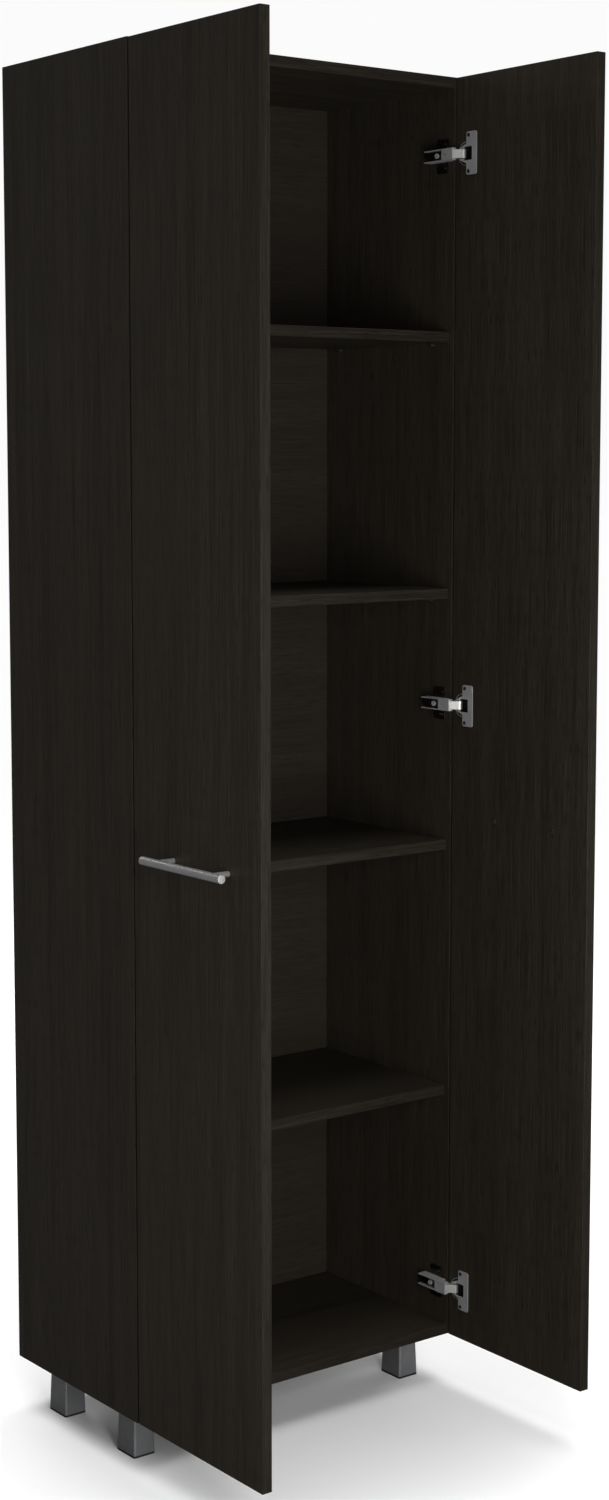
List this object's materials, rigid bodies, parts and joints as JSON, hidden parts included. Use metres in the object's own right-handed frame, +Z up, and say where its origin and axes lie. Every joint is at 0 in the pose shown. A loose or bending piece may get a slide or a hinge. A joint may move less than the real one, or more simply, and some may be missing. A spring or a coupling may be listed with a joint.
{
  "type": "pantry cabinet",
  "caption": "Tall narrow pantry cabinet with two hinged doors standing open, shelves inside, horizontal bar handles and short square legs.",
  "frame": {"origin": "on the floor, on the centre line between the side panels, midway between the free edges of the open doors and the rear edges of the side panels", "axes": "+Z up, +X to the right of someone facing the cabinet, +Y from the doors towards the back panel"},
  "size_m": [0.676, 0.632, 2.02],
  "materials": {
    "wenge_board": "dark wenge melamine with fine vertical grain, satin",
    "back_board": "dark printed hardboard, matt",
    "beech_dowel": "raw beech",
    "zinc_steel": "zinc-plated steel, satin",
    "nickel_plate": "bright nickel plate",
    "handle_steel": "satin brushed steel",
    "dark_fittings": "dark passivated or black oxide steel",
    "leg_metal": "satin silver-grey lacquer",
    "foot_pad": "black rubber"
  },
  "bodies": {
    "cabinet": {"left_side_panel": "wenge_board", "right_side_panel": "wenge_board", "top_panel": "wenge_board", "bottom_panel": "wenge_board", "back_panel": "back_board", "shelf_1": "wenge_board", "shelf_2": "wenge_board", "shelf_3": "wenge_board", "shelf_4": "wenge_board", "shelf_pins": "dark_fittings", "cam_locks": "zinc_steel", "cam_bolts": "zinc_steel", "dowels": "beech_dowel", "front_left_leg": "leg_metal", "front_right_leg": "leg_metal", "back_left_leg": "leg_metal", "back_right_leg": "leg_metal", "leg_plates": "zinc_steel", "leg_plate_screws": "zinc_steel", "leg_bolts": "zinc_steel", "front_left_foot_pad": "foot_pad", "front_right_foot_pad": "foot_pad", "back_left_foot_pad": "foot_pad", "back_right_foot_pad": "foot_pad", "left_lower_hinge_arm": "zinc_steel", "left_middle_hinge_arm": "zinc_steel", "left_upper_hinge_arm": "zinc_steel", "right_lower_hinge_arm": "zinc_steel", "right_middle_hinge_arm": "zinc_steel", "right_upper_hinge_arm": "zinc_steel", "left_hinge_mounting_plates": "dark_fittings", "right_hinge_mounting_plates": "dark_fittings", "mounting_plate_screws": "dark_fittings", "hinge_arm_screws": "zinc_steel", "hinge_arm_pins": "nickel_plate"},
    "left_door": {"left_door": "wenge_board", "left_lower_hinge_cup": "zinc_steel", "left_middle_hinge_cup": "zinc_steel", "left_upper_hinge_cup": "zinc_steel", "left_hinge_cup_screws": "dark_fittings", "left_handle_bar": "handle_steel", "left_handle_posts": "handle_steel", "left_handle_screws": "dark_fittings"},
    "left_hinge_links": {"left_lower_hinge_link": "nickel_plate", "left_middle_hinge_link": "nickel_plate", "left_upper_hinge_link": "nickel_plate", "left_hinge_link_pins": "nickel_plate"},
    "right_door": {"right_door": "wenge_board", "right_lower_hinge_cup": "zinc_steel", "right_middle_hinge_cup": "zinc_steel", "right_upper_hinge_cup": "zinc_steel", "right_hinge_cup_screws": "dark_fittings", "right_handle_bar": "handle_steel", "right_handle_posts": "handle_steel", "right_handle_screws": "dark_fittings"},
    "right_hinge_links": {"right_lower_hinge_link": "nickel_plate", "right_middle_hinge_link": "nickel_plate", "right_upper_hinge_link": "nickel_plate", "right_hinge_link_pins": "nickel_plate"}
  },
  "joints": [
    {"name": "left_door_swing", "type": "hinge", "parent": "cabinet", "child": "left_door", "pos_m": [-0.292, -0.026, 1.08], "axis": [0, 0, -1], "range_deg": [-90, 20]},
    {"name": "right_door_swing", "type": "hinge", "parent": "cabinet", "child": "right_door", "pos_m": [0.292, -0.026, 1.08], "axis": [0, 0, 1], "range_deg": [-90, 20]},
    {"name": "left_hinge_link_swing", "type": "hinge", "parent": "cabinet", "child": "left_hinge_links", "pos_m": [-0.2725, -0.024, 1.08], "axis": [0, 0, -1], "range_deg": [-11.91, 51.84]},
    {"name": "right_hinge_link_swing", "type": "hinge", "parent": "cabinet", "child": "right_hinge_links", "pos_m": [0.2725, -0.024, 1.08], "axis": [0, 0, 1], "range_deg": [-11.91, 51.84]}
  ],
  "couplings": [
    {"joint": "left_hinge_link_swing", "follows": "left_door_swing", "ratio": -0.5705},
    {"joint": "right_hinge_link_swing", "follows": "right_door_swing", "ratio": -0.5705}
  ]
}
